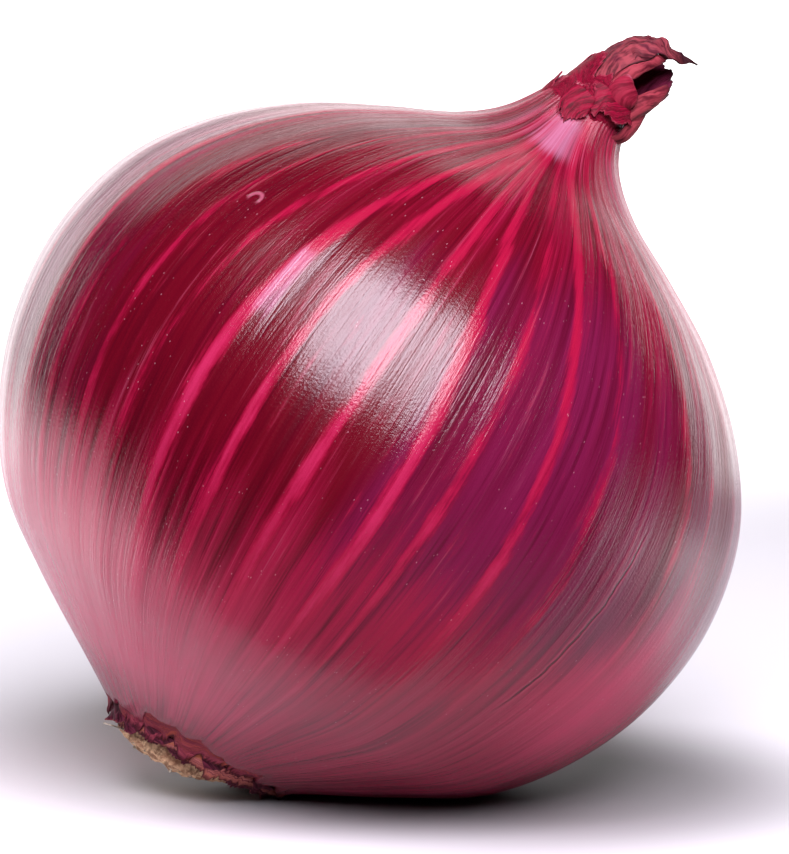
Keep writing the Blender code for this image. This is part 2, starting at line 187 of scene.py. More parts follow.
UNDER_HOOD = (
    ((-0.3, -2.7, 45.2), (0.7, -3.0, 47.4), (1.7, -2.8, 49.2), (3.2, -2.3, 50.9), (5.2, -1.4, 51.4)),
    ((0.0, -3.5, 45.0), (0.9, -3.7, 46.9), (1.9, -3.6, 48.1), (2.9, -3.1, 49.6), (4.6, -1.9, 51.1)),
    ((0.2, -3.6, 44.8), (1.2, -3.9, 46.2), (2.2, -3.6, 47.2), (3.1, -3.1, 48.9), (4.7, -1.8, 50.9)),
)
BACK_WALL = (
    ((-1.8, 0.2, 45.2), (-1.2, 0.8, 47.4), (0.6, 1.0, 49.8)),
    ((-1.6, 1.7, 45.2), (-0.9, 2.2, 47.2), (1.2, 2.5, 50.2)),
    ((0.2, 3.1, 45.2), (1.1, 3.3, 47.4), (2.8, 2.9, 50.8)),
    ((2.6, 3.0, 45.2), (3.6, 3.1, 48.0), (4.6, 2.8, 51.2)),
    ((4.2, 1.7, 45.2), (5.3, 1.8, 48.0), (6.2, 1.8, 51.0)),
    ((4.6, 0.2, 45.2), (5.8, 0.4, 47.6), (6.8, 0.4, 50.1)),
    ((4.4, -1.2, 45.2), (5.6, -1.1, 47.2), (6.8, -1.0, 48.9)),
)
LOWER_LIP = (
    ((2.4, -2.6, 43.9), (3.3, -2.5, 45.3), (4.5, -2.0, 46.9), (6.0, -0.9, 48.7)),
    ((2.9, -3.8, 43.8), (3.7, -3.6, 45.3), (4.8, -3.0, 46.9), (6.3, -1.7, 48.9)),
    ((3.8, -4.1, 43.2), (4.7, -3.6, 44.8), (5.6, -2.9, 46.5), (6.8, -1.5, 48.5)),
    ((4.2, -3.2, 42.7), (5.4, -2.5, 44.7), (6.1, -1.8, 46.3), (7.0, -0.6, 48.3)),
    ((4.7, -1.8, 43.0), (5.7, -0.9, 45.0), (6.3, -0.3, 46.8), (6.9, 0.6, 48.4)),
)
FOLD = (
    ((0.3, -3.6, 43.4), (0.3, -4.0, 45.0), (0.6, -3.8, 46.4), (1.2, -3.5, 47.1)),
    ((1.1, -4.4, 43.1), (1.1, -4.8, 44.9), (1.2, -4.5, 46.5), (1.4, -3.8, 47.3)),
    ((2.1, -4.5, 43.4), (2.3, -5.0, 44.8), (2.1, -4.8, 46.2), (1.6, -4.0, 47.3)),
    ((2.9, -4.0, 43.8), (3.3, -4.6, 44.8), (3.1, -4.6, 45.9), (2.0, -4.0, 47.0)),
    ((3.0, -3.4, 44.0), (3.5, -3.9, 44.9), (3.3, -4.0, 45.8), (2.2, -3.6, 46.8)),
)
BROAD_FLAKE = (
    ((-1.3, -3.6, 44.9), (-1.5, -4.0, 43.6), (-1.6, -4.5, 42.2), (-1.5, -5.0, 40.7)),
    ((0.0, -4.2, 45.0), (-0.1, -4.7, 43.6), (-0.1, -5.1, 42.2), (0.1, -5.5, 40.9)),
    ((1.4, -4.5, 44.7), (1.4, -5.0, 43.6), (1.4, -5.4, 42.5), (1.5, -5.7, 41.5)),
    ((2.8, -4.3, 44.6), (2.9, -4.7, 43.8), (3.0, -5.0, 42.9), (3.2, -5.3, 42.1)),
    ((4.0, -3.6, 44.2), (4.2, -3.8, 43.6), (4.4, -4.1, 43.1), (4.6, -4.3, 42.6)),
)
LEFT_SHARD = (
    ((-2.9, -3.2, 43.4), (-3.4, -4.0, 41.8), (-3.5, -4.8, 40.6), (-3.1, -5.4, 39.6)),
    ((-2.0, -3.9, 43.6), (-2.3, -4.8, 41.4), (-2.4, -5.4, 39.9), (-2.2, -5.8, 38.9)),
    ((-1.2, -4.4, 43.4), (-1.3, -5.1, 41.6), (-1.4, -5.6, 40.2), (-1.4, -5.8, 39.4)),
    ((-0.4, -4.7, 43.2), (-0.4, -5.2, 42.0), (-0.5, -5.5, 41.2), (-0.6, -5.7, 40.6)),
)
RIGHT_FLAKE = (
    ((2.9, -3.9, 40.2), (3.7, -4.2, 41.6), (4.2, -3.7, 43.4), (5.0, -2.9, 45.0)),
    ((3.6, -3.4, 40.2), (4.6, -3.9, 41.6), (5.0, -3.4, 43.4), (5.4, -2.8, 45.1)),
    ((4.3, -2.7, 40.4), (5.3, -3.1, 41.6), (5.6, -2.7, 43.4), (5.6, -2.5, 44.9)),
)

# The dry heart of the neck, as (station, radius)
CORE_PROFILE = ((NECK_END + 0.1, 3.1), (45.0, 3.2), (45.4, 2.4), (45.5, 0.3))
CORE_COLUMNS = 48

# The layers of torn skin round the root plate, as (radius over that of the bulb's end, height over that end),
# and the flaps that lift from them, as (azimuth in degrees, half width, length, outward flare)
SKIRT_OUTER = ((2.9, 2.0), (1.8, 1.35), (0.6, 0.65), (-0.4, -0.1), (-0.9, -0.8), (-1.3, -1.5))
SKIRT_MIDDLE = ((-0.9, 0.4), (-1.0, -0.5), (-1.3, -1.1), (-1.7, -1.7), (-2.2, -2.3))
SKIRT_INNER = ((-1.3, 0.1), (-1.5, -0.7), (-1.9, -1.3), (-2.3, -1.8), (-2.7, -2.3))
FLAP_RADIUS = 9.5
FRILL_FLAPS = (
    (186, 1.6, 1.5, 0.5), (196, 1.5, 1.7, 1.3), (206, 1.3, 1.2, 1.6), (217, 1.6, 1.7, 0.8),
    (240, 1.9, 1.0, 0.6), (277, 1.4, 0.8, 0.5), (313, 1.8, 0.7, 0.6), (70, 1.7, 1.2, 0.9),
    (118, 1.4, 1.5, 1.0), (155, 1.8, 1.4, 0.6),
)
PALE_SCRAP = (
    ((2.0, -9.6, -36.0), (2.4, -8.6, -36.9), (2.8, -7.4, -37.5)),
    ((4.6, -8.9, -35.7), (4.9, -7.6, -36.8), (4.6, -6.4, -37.5)),
    ((7.2, -7.2, -35.7), (6.9, -6.2, -36.7), (6.1, -5.2, -37.5)),
    ((9.6, -4.6, -35.7), (8.9, -4.2, -36.6), (8.1, -3.9, -37.1)),
)

# The root plate
PLATE_RADIUS = 7.1
PLATE_BOTTOM = -40.0
PLATE_WEAR_START = -3.0
PLATE_WEAR = 0.024
PLATE_COLUMNS, PLATE_RINGS = 160, 36
ROOT_STUBS = 70
ROOT_SIDES = 10
LONG_ROOT = ((-5.2, -1.6, -38.9), (-7.4, -2.3, -39.2), (-9.2, -2.5, -39.6))

# The photograph's view: the camera's bearing and height above the horizon, its distance from the onion, its
# lens, and where the widest circle's centre falls in the picture
CAMERA_AZIMUTH = math.radians(-11)
CAMERA_ELEVATION = math.radians(7)
CAMERA_DISTANCE = 0.502
LENS = 200.0
SENSOR = 36.0
PICTURE_WIDTH, PICTURE_HEIGHT = 789, 854
CENTRE_PIXEL = (372, 445)

# Colours of the bulb's skin, as linear red, green and blue
MAROON = (0.08, 0.001, 0.006)
PURPLISH = (0.105, 0.0045, 0.03)
CRIMSON = (0.21, 0.003, 0.028)
DARK_STRAND = (0.035, 0.0006, 0.0045)
DARK_BAND = (0.04, 0.0006, 0.0045)
STREAK = (0.24, 0.003, 0.026)
STREAK_AT_BASE = (0.32, 0.014, 0.06)
STREAK_AT_NECK = (0.24, 0.0045, 0.026)
DUST = (0.55, 0.26, 0.32)
SPLIT_EDGE = (0.4, 0.08, 0.12)
SPLIT_GAP = (0.02, 0.003, 0.006)
SCAR_PALE = (0.42, 0.1, 0.16)
# Worn places, of which dry also holds painted highlights and pale also a painted reflection and painted
# light: how much the strands break them up, their colour, where they start and are full, and how much they
# cover
WORN_AND_PAINTED_LIGHT_PLACES = {
    "dry": (1.2, (0.31, 0.11, 0.18), 0.15, 0.9, 0.8),
    "pale": (0.4, (0.52, 0.042, 0.11), 0.1, 1.0, 0.85),
    "hem": (1.5, (0.15, 0.013, 0.027), 0.2, 1.0, 0.85),
}

# The torn and dry skins: deep and bright colour, colour at the torn edge, share of the length where that edge
# starts, then the colour of blotches and the roughness, where they aren't the usual ones
TORN_SKINS = {
    "crimson": ((0.05, 0.0008, 0.005), (0.17, 0.0022, 0.018), (0.22, 0.025, 0.045), 0.95, None, 0.45),
    "salmon": ((0.06, 0.004, 0.009), (0.22, 0.028, 0.04), (0.05, 0.005, 0.01), 0.8),
    "hood": ((0.035, 0.004, 0.008), (0.2, 0.032, 0.042), (0.01, 0.003, 0.004), 0.62, (0.045, 0.005, 0.014)),
    "inner": ((0.06, 0.004, 0.016), (0.17, 0.017, 0.05), (0.06, 0.01, 0.02), 0.9),
    "folded": ((0.09, 0.002, 0.01), (0.19, 0.01, 0.026), (0.28, 0.06, 0.09), 0.9),
    "skirt": ((0.07, 0.005, 0.016), (0.3, 0.05, 0.075), (0.03, 0.004, 0.008), 0.78, (0.34, 0.065, 0.034)),
    "scrap": ((0.1, 0.012, 0.022), (0.48, 0.15, 0.13), (0.035, 0.006, 0.01), 0.76, (0.4, 0.11, 0.05)),
    "frill": ((0.022, 0.003, 0.008), (0.13, 0.02, 0.04), (0.2, 0.05, 0.055), 0.92, (0.035, 0.008, 0.012)),
    "pale": ((0.28, 0.1, 0.07), (0.5, 0.32, 0.25), (0.2, 0.05, 0.03), 0.8, (0.3, 0.05, 0.03)),
}

# The floor, in metres: it lies just under the onion, ends in front of it, and curves up far behind it
FLOOR_LEVEL = -0.00005
FLOOR_HALF_WIDTH = 1.15
FLOOR_FRONT, FLOOR_BACK = 0.04, -0.92
SWEEP = 0.12
BACKDROP_HEIGHT = 0.60
BACKDROP_RIGHT = 0.55  # share of that height at its right side
# It glows away from a point this far to the right, from the first distance and fully at the second. Patches
# add to the glow or take from it: metres to the right of the onion, radius, and strength.
GLOW_ASIDE = 0.17
GLOW_REACH = (0.21, 0.43)
GLOW_STRENGTH = 1.5
GLOW_PATCHES = ((-0.115, 0.075, 1.65), (0.125, 0.075, 1.6), (0.5, 0.45, -1.2))
PATCH_MIDDLE = 0.02
# It has a painted shadow where the onion rests, round a point this far to the right, and is pale from the
# second distance
SHADE_ASIDE = 0.018
SHADE_REACH = (0.015, 0.045)
FLOOR_PAINTED_SHADOW = (0.16, 0.15, 0.15)
FLOOR_PALE = (0.60, 0.59, 0.59)

# The room's light from below and from the sides, the heights between which one gives way to the other, and
# its colour
ROOM_BELOW, ROOM_ASIDE = 0.8, 0.015
ROOM_HEIGHTS = (-0.7, -0.25)
ROOM_COLOUR = (1.0, 0.5, 0.6)

# The soft lights: degrees right of the camera, seen from the onion, and above the horizon, then distance,
# width and height in metres, brightness, colour, and degrees that an oval one's top is turned to the right
LIGHTS = {
    "key": (9, 46, 0.6, 0.43, 0.62, 16.0, (0.92, 0.88, 1.0), 35),
    "high_back": (-168, 41, 0.9, 0.9, 0.28, 1.7, (1, 1, 1), 0),
    "strip": (-43, 60, 0.5, 0.014, 0.24, 9.0, (1.0, 0.9, 0.95), 0),
}


def placement():
    """The matrix that takes the onion's own frame, in mm, to the world, in metres."""
    lift = Matrix.Translation((0, 0, CENTRE_HEIGHT * MM))
    return lift @ Matrix.Rotation(LEAN, 4, "Y") @ Matrix.Scale(MM, 4)


def smooth_curve(points, per_span):
    """Points on a Catmull-Rom curve through the given points, per_span of them for each span."""
    ends = [points[0], *points, points[-1]]
    curve = []
    for i in range(len(points) - 1):
        a, b, c, d = (np.array(p, float) for p in ends[i : i + 4])
        for k in range(per_span):
            t = k / per_span
            start = 2 * b + (c - a) * t
            curve.append(0.5 * (start + (2 * a - 5 * b + 4 * c - d) * t**2 + (3 * b - a - 3 * c + d) * t**3))
    curve.append(np.array(points[-1], float))
    return np.array(curve)


def ramp(x, low, high):
    """0 below low, 1 above high, and smooth between."""
    t = np.clip((np.asarray(x, float) - low) / (high - low), 0, 1)
    return t * t * (3 - 2 * t)


def within(x, band):
    """1 inside a band, 0 outside it, and smooth at both its ends."""
    start, full, last_full, end = band
    return ramp(x, start, full) * (1 - ramp(x, last_full, end))


def degrees_off(azimuth, other):
    """Degrees from one azimuth to another, the short way round."""
    return (azimuth - other + 180) % 360 - 180


def ring_angles(count):
    """Evenly spaced angles round the axis, in radians."""
    return np.linspace(0, 2 * math.pi, count, endpoint=False)


def round_axis(radius, angle, station, centre=0.0):
    """Points at these radii, angles and stations, whose centre is this far towards the lean."""
    x, y = centre + radius * np.cos(angle), radius * np.sin(angle)
    return np.stack([x, y, np.broadcast_to(station, np.shape(x))], -1)


def resample(curve, steps, marks=None):
    """Points of a curve at these steps, counted in points or along the given marks."""
    marks = range(len(curve)) if marks is None else marks
    return np.stack([np.interp(steps, marks, curve[:, k]) for k in range(3)], -1)


def bend(station):
    """How far the neck's centre has moved towards the lean at this station."""
    return BEND_RATE * np.maximum(0.0, station - BEND_START) ** 2


def base_end(x):
    """The station of the bulb's base end at this distance towards the lower side."""
    return BASE_END + BASE_SLOPE * x


def end_radius(azimuth):
    """The skin's radius where the bulb ends, at this azimuth in degrees."""
    stations, radii = zip(*BULB_OUTLINE)
    radius = np.full_like(np.asarray(azimuth, float), END_RADIUS)
    for _ in range(4):
        radius = np.interp(base_end(radius * np.cos(np.radians(azimuth))), stations, radii)
    return radius


def to_world(points):
    """Points of the onion's own frame, in mm, in the world, in metres, and none of them under the floor."""
    matrix = np.array(placement())
    world = points @ matrix[:3, :3].T + matrix[:3, 3]
    world[..., 2] = np.maximum(world[..., 2], 0.0)
    return world


def waves(points, size, amount, octaves=2):
    """Smooth random offsets for an array of points: features of this size, up to this amount."""
    flat = points.reshape(-1, 3) / size
    moved = [noise.turbulence_vector(Vector(p), octaves, False, amplitude_scale=0.5) for p in flat]
    return np.array(moved).reshape(points.shape) * amount


def add_attribute(mesh, name, values):
    """Stores a number or a vector for each vertex of a mesh."""
    values = np.asarray(values, np.float32)
    kind, key = ("FLOAT_VECTOR", "vector") if values.ndim == 2 else ("FLOAT", "value")
    mesh.attributes.new(name, kind, "POINT").data.foreach_set(key, values.ravel())


def add_object(name, data):
    """An object of the scene that shows this data."""
    made = bpy.data.objects.new(name, data)
    bpy.context.scene.collection.objects.link(made)
    return made


def add_mesh(name, points, faces, finish):
    """A smooth-shaded object with these corners, in world metres."""
    mesh = bpy.data.meshes.new(name)
    mesh.from_pydata([tuple(p) for p in points], [], faces)
    mesh.materials.append(finish)
    mesh.shade_smooth()
    return add_object(name, mesh)


def piece(name, grid, faces, finish, node, slot):
    """A mesh piece, from points of the onion's own frame, that stands for a CAD node and hides that node's
    CAD part; slot is not used.
    """
    made = add_mesh(name, to_world(grid).reshape(-1, 3), faces, finish)
    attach(made, "root")
    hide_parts(node)
    return made


def grid_faces(rows, columns, wrap, start=0, flip=False):
    """Quads of a grid of vertices, closed sideways where wrap is true."""
    faces = []
    for j in range(rows - 1):
        for i in range(columns if wrap else columns - 1):
            a = start + j * columns + i
            b = start + j * columns + (i + 1) % columns
            face = (a, b, b + columns, a + columns)
            faces.append(face[::-1] if flip else face)
    return faces


def closed_tube(rows, columns, flip=False):
    """Faces of a grid of vertices that is closed sideways and at both its ends."""
    ends = [tuple(range(columns))[::-1], tuple(range((rows - 1) * columns, rows * columns))]
    return grid_faces(rows, columns, True, flip=flip) + [face[::-1] if flip else face for face in ends]


# The bulb's skin


def all_veins():
    """Every vein as (azimuths at the vein stations, half width, strengths), those of the far side drawn."""
    draw = random.Random(SEED)
    veins = [(v[:4], v[4], v[5:]) for v in VEINS]
    first, last, count = HIDDEN_VEINS
    for i in range(count):
        azimuth = first + (last - first) * (i + draw.uniform(-0.25, 0.25)) / (count - 1)
        drift = draw.uniform(-3, 3)
        line = (azimuth + drift, azimuth, azimuth - drift * 0.2, azimuth + draw.uniform(-1, 1))
        strong = draw.uniform(0.4, 1.0)
        veins.append((line, draw.uniform(0.55, 0.9), (strong, strong, strong * 0.8)))
    return veins


def vein_offsets(azimuth, station, line):
    """Degrees from each point of the skin to a vein's line."""
    cubic = np.polyfit(VEIN_STATIONS, line, 3)
    centre = np.polyval(cubic, np.clip(station, -32, 35))
    return degrees_off(azimuth, centre)


def vein_relief(azimuth, station, veins):
    """The veins' height over the plain outline, in mm."""
    height = np.zeros_like(azimuth)
    for line, _, strengths in veins:
        off = vein_offsets(azimuth, station, line) / VEIN_SPREAD
        height += VEIN_HEIGHT * (0.35 + 0.65 * strengths[1]) * np.exp(-(off**2))
    return height * within(station, VEIN_BAND)


def vein_colour(azimuth, station, radius, veins):
    """How strongly each point of the skin takes the veins' bright colour."""
    total = np.zeros_like(azimuth)
    for line, half_width, (near_neck, belly, near_base) in veins:
        offset = np.radians(vein_offsets(azimuth, station, line)) * radius
        strength = near_base + (belly - near_base) * ramp(station, -26, -6)
        strength += (near_neck - belly) * ramp(station, 6, 22)
        wide = half_width * (1 - 0.2 * ramp(station, 12, 26) - 0.25 * ramp(-station, 10, 25))
        total = np.maximum(total, strength * np.exp(-((offset / wide) ** 2)))
    return total * (1 - 0.85 * ramp(-station, 24, 32))


def share_round(places, azimuth):
    """Values given at a few azimuths, carried smoothly round the bulb."""
    degrees = [a for a, _ in places] + [places[0][0] + 360]
    values = [v for _, v in places] + [places[0][1]]
    return np.interp(azimuth % 360, degrees, values)


def rosy_share(azimuth, station):
    """How crimson the ground between the veins is: most near the neck, and some near the base, raised on the
    lower right as painted light.
    """
    near_neck = ramp(station, 14, 30) * share_round(ROSY_NECK, azimuth)
    near_base = ramp(-station, 0, 18) * share_round(ROSY_BASE_AND_PAINTED_LIGHT, azimuth)
    return near_neck + near_base


def pale_and_painted_haze_share(azimuth, station):
    """How pale the skin is near the base: partly its own dusty paleness, partly a painted reflection of the
    floor and painted light on the lower right.
    """
    start = share_round(PALE_FROM, azimuth)
    darker_end = 1 - 0.55 * ramp(-station, 30.5, 36)
    lost = share_round(PALE_LOST, azimuth) * ramp(-station, 6, 24)
    grown = ramp((-station - start) / (30 - start), 0, 1)
    return grown * share_round(PALE_BASE_AND_PAINTED_HAZE, azimuth) * darker_end * (1 - lost)


def dry_and_highlight_share(azimuth, station):
    """Where the outermost skin is dry and pale at the foot of the neck, with painted highlights at the foot
    of the neck and along one vein.
    """
    total = np.zeros_like(azimuth)
    for degrees, half_width, low, high, strength in DRY_AND_HIGHLIGHT_PATCHES:
        off = degrees_off(azimuth, degrees) / half_width
        total += strength * np.exp(-(off**2)) * within(station, (low - 1.5, low + 1, high - 1, high + 1))
    return total


def torn_hem(degrees):
    """The station where the outermost skin is torn off round the base, at each azimuth."""
    draw = random.Random(SEED + 31)
    depth = np.full_like(degrees, HEM_SHORTEST)
    for i in range(HEM_TEETH):
        centre = 360 * (i + draw.uniform(-0.4, 0.4)) / HEM_TEETH
        off = np.abs(degrees_off(degrees, centre)) / (360 / HEM_TEETH * draw.uniform(0.45, 1.1))
        depth = np.maximum(depth, HEM_SHORTEST + draw.uniform(0.3, 1.3) * np.maximum(0, 1 - off**1.4))
    nibbles = np.array([draw.uniform(-1, 1) for _ in degrees])
    depth += 0.05 * (nibbles + np.roll(nibbles, 1)) - HEM_RAISED * share_round(HEM_RAISED_PLACES, degrees)
    return base_end(HEM_RADIUS * np.cos(np.radians(degrees))) - depth


def gathers(angle, stations):
    """Pleats where the skin gathers at the neck, and finer ones towards both its ends, in mm."""
    pleats = PLEAT_HEIGHT * np.sin(PLEATS * angle + 1.3 * np.sin(2 * angle)) * within(stations, PLEAT_BAND)
    fine = FINE_PLEAT_HEIGHT * np.sin(FINE_PLEATS * angle + 2.2 * np.sin(3 * angle) + 0.04 * stations)
    fine *= 0.6 + 0.4 * np.sin(5 * angle + 0.9)
    return pleats + fine * (ramp(stations, 24, 34) + 0.6 * ramp(-stations, 27, 34))


def dents(around, radius):
    """Shallow dents in the skin, longer than they are wide, in mm."""
    squeezed = (around * np.array([1, 1, 0.35])).reshape(-1, 3)
    depth = np.array([noise.noise(Vector(p) / DENT_SIZE) for p in squeezed])
    return DENT * depth.reshape(radius.shape) * ramp(radius, 8, 25)


def bulb_skin(finish):
    """The bulb and the neck's shaft, with veins, pleats, shallow dents and a torn lifted hem at the base."""
    outline = smooth_curve(BULB_OUTLINE, SKIN_ROWS_PER_SPAN)
    degrees = np.arange(SKIN_COLUMNS) * 360 / SKIN_COLUMNS
    hem = torn_hem(degrees)
    above = outline[outline[:, 0] > HEM_TOP]
    share = np.linspace(0, 1, HEM_ROWS, endpoint=False)[:, None]
    stations = np.concatenate([hem + (HEM_TOP - hem) * share, np.repeat(above[:, :1], SKIN_COLUMNS, axis=1)])
    radius = np.interp(stations, outline[:, 0], outline[:, 1])
    lift = np.zeros_like(stations)
    lift[:HEM_ROWS] = HEM_LIFT * (1 - share) ** 2 * (1 + 0.8 * np.sin(np.radians(degrees) * 9 + 1))
    azimuth = np.repeat(degrees[None, :], len(stations), axis=0)
    angle = np.radians(azimuth)
    veins = all_veins()
    lobed = 1 + OUT_OF_ROUND * np.cos(2 * angle + 0.7) + OUT_OF_ROUND * np.cos(3 * angle + 2.1) / 2
    around = round_axis(GIRTH, angle, stations)
    reach = radius * lobed + vein_relief(azimuth, stations, veins) + gathers(angle, stations) + lift
    reach += dents(around, radius)
    level = np.minimum(stations, NECK_END)
    grid = round_axis(reach, angle, level, bend(stations))
    inner = []
    for narrower, height in INNER_RINGS:
        ring = round_axis(reach[0] - narrower, angle[0], level[0])
        if height is not None:
            ring[:, 2] = np.maximum(base_end(ring[:, 0]) + height, level[0] + 0.1)
        inner.append(ring)
    grid = np.concatenate([np.array(inner), grid])
    rows = len(grid)
    made = piece("skin", grid, closed_tube(rows, SKIN_COLUMNS), finish, "bulb", "glossy_skin")

    def store(name, values):
        values = np.concatenate([np.repeat(values[:1], len(inner), axis=0), values])
        add_attribute(made.data, name, values.reshape(rows * SKIN_COLUMNS, -1).squeeze())

    store("around", around)
    store("vein", vein_colour(azimuth, stations, radius, veins))
    store("purple", share_round(PURPLE, azimuth))
    # rosy and pale near the base: partly painted light and a painted reflection of the floor
    store("rosy", rosy_share(azimuth, stations))
    store("pale", pale_and_painted_haze_share(azimuth, stations))
    # dry: dry patches, with painted highlights at the foot of the neck and along one vein
    store("dry", dry_and_highlight_share(azimuth, stations))
    store("hem", 1 - ramp(stations - hem[None, :], 0.0, 1.3))


# Torn sheets of skin


def sheet(name, grid, thickness, kind, share, wrap=False):
    """A thin closed sheet on a grid of points of the onion's own frame, rooted end first. It thins towards
    its torn end, and stores for each vertex mm across, mm along and the share of its length. Its kind is
    its finish, CAD node and slot."""
    rows, columns = grid.shape[:2]
    down = np.gradient(grid, axis=0)
    if wrap:
        sideways = np.roll(grid, -1, axis=1) - np.roll(grid, 1, axis=1)
    else:
        sideways = np.gradient(grid, axis=1)
    normal = np.cross(sideways, down)
    normal /= np.maximum(np.linalg.norm(normal, axis=-1, keepdims=True), 1e-9)
    half = (thickness / 2 * (1 - 0.55 * share**2))[..., None]
    points = np.concatenate([(grid + normal * half).reshape(-1, 3), (grid - normal * half).reshape(-1, 3)])
    count = rows * columns
    faces = grid_faces(rows, columns, wrap) + grid_faces(rows, columns, wrap, count, True)
    for row in (0, rows - 1):
        for i in range(columns if wrap else columns - 1):
            a, b = row * columns + i, row * columns + (i + 1) % columns
            faces.append((b, a, a + count, b + count) if row == 0 else (a, b, b + count, a + count))
    if not wrap:
        for j in range(rows - 1):
            a, b = j * columns, (j + 1) * columns
            faces.append((a, b, b + count, a + count))
            a, b = a + columns - 1, b + columns - 1
            faces.append((b, a, a + count, b + count))
    made = piece(name, points, faces, *kind)
    across = np.cumsum(np.linalg.norm(np.roll(grid, 1, axis=1) - grid, axis=-1), axis=1)
    along = np.cumsum(np.linalg.norm(down, axis=-1), axis=0)
    place = np.stack([across, along, share], -1).reshape(-1, 3)
    add_attribute(made.data, "place", np.concatenate([place, place]))


def torn_length(azimuth, teeth, shortest):
    """The share of a sleeve's length that is left at each azimuth, in degrees, and its outward flare."""
    left = np.full_like(azimuth, shortest)
    flare = np.zeros_like(azimuth)
    for degrees, half_width, share, lift in teeth:
        off = np.abs(degrees_off(azimuth, degrees)) / half_width
        left = np.maximum(left, shortest + (share - shortest) * np.maximum(0, 1 - off**1.5))
        flare += lift * np.maximum(0, 1 - off**2)
    return left, flare


def torn_sleeve(name, path, teeth, shortest, kind, at_base=False, columns=300, levels=20, crumple=0.12,
                ragged=0.05):
    """A thin sleeve round the axis with a torn, crumpled free end; its path starts from the bulb's end where
    at_base is true."""
    draw = random.Random(SEED + len(teeth))
    azimuth = np.arange(columns) * 360 / columns
    left, flare = torn_length(azimuth, teeth, shortest)
    nibbles = np.array([draw.uniform(-1, 1) for _ in range(columns)])
    nibbles = nibbles + np.roll(nibbles, 1) + 0.5 * np.roll(nibbles, 2)
    left = np.clip(left * (1 + ragged * nibbles), 0.05, 1.0)
    fine = smooth_curve(path, 10)
    share = np.linspace(0, 1, levels)[:, None] * left[None, :]
    place = share * (len(fine) - 1)
    radius = np.interp(place, range(len(fine)), fine[:, 0]) + flare[None, :] * share**2
    height = np.interp(place, range(len(fine)), fine[:, 1])
    angle = np.radians(azimuth)[None, :]
    if at_base:
        radius = radius + end_radius(azimuth)[None, :]
    station = height + (base_end(radius * np.cos(angle)) if at_base else 0)
    grid = round_axis(radius, angle, station, bend(station))
    grid += waves(grid, 2.2, crumple) * ramp(share, 0.1, 0.6)[..., None]
    worn = np.repeat(np.linspace(0, 1, levels)[:, None], columns, axis=1)
    sheet(name, grid, SLEEVE_THICKNESS, kind, worn, wrap=True)


def seeded_teeth(count, seed, shortest, longest, flare):
    """Teeth for a torn sleeve, all round it, of seeded widths and lengths."""
    draw = random.Random(SEED + seed)
    teeth = []
    for i in range(count):
        azimuth = 360 * (i + draw.uniform(-0.35, 0.35)) / count
        half_width = 360 / count * draw.uniform(0.5, 1.1)
        teeth.append((azimuth, half_width, draw.uniform(shortest, longest), draw.uniform(-0.3, 1) * flare))
    return teeth


def loft(name, rails, kind, seed, torn, rows=50, columns=40, crumple=0.12, thickness=0.3, wave=1.6):
    """A thin sheet through rails that run from its root to its torn free end."""
    draw = random.Random(SEED + seed)
    long = []
    for rail in rails:
        curve = smooth_curve(rail, 12)
        gone = np.concatenate([[0], np.cumsum(np.linalg.norm(np.diff(curve, axis=0), axis=1))])
        steps = np.linspace(0, gone[-1], rows)
        long.append(resample(curve, steps, gone))
    net = np.zeros((rows, columns, 3))
    for j in range(rows):
        curve = smooth_curve([rail[j] for rail in long], 10)
        net[j] = resample(curve, np.linspace(0, len(curve) - 1, columns))
    coarse = np.array([draw.uniform(0, 1) for _ in range(max(4, columns // 5))])
    coarse = np.interp(np.linspace(0, len(coarse) - 1, columns), range(len(coarse)), coarse)
    fine = np.array([draw.uniform(0, 1) for _ in range(columns)])
    bites = 1 - torn * (0.7 * coarse**1.5 + 0.3 * (fine + np.roll(fine, 1)) / 2)
    grid = np.zeros_like(net)
    for i in range(columns):
        grid[:, i] = resample(net[:, i], np.linspace(0, 1, rows) * bites[i] * (rows - 1))
    along = np.linspace(0, 1, rows)[:, None]
    across = np.abs(np.linspace(-1, 1, columns))[None, :]
    worn = np.maximum(along, across**3 * (0.25 + 0.75 * ramp(along, 0, 0.3)))
    grid += waves(grid, wave, crumple) * ramp(along, 0.05, 0.5)[..., None]
    sheet(name, grid, thickness, kind, worn)


def flap_rails(degrees, half_width, length, flare):
    """The rails of a flap that lifts from the torn skin round the root plate and narrows to its tip."""
    rails = []
    for side in (-1, -0.4, 0.4, 1):
        rail = []
        for share in (0, 0.35, 0.7, 1):
            angle = math.radians(degrees) + side * half_width * (1 - 0.8 * share**1.5) / FLAP_RADIUS
            radius = float(end_radius(degrees)) - 0.5 - 0.9 * share + flare * share**2 - 0.15 * abs(side)
            x, y = radius * math.cos(angle), radius * math.sin(angle)
            rail.append((x, y, float(base_end(x)) - GAP + 0.2 - share * (length + 0.5)))
        rails.append(rail)
    return rails


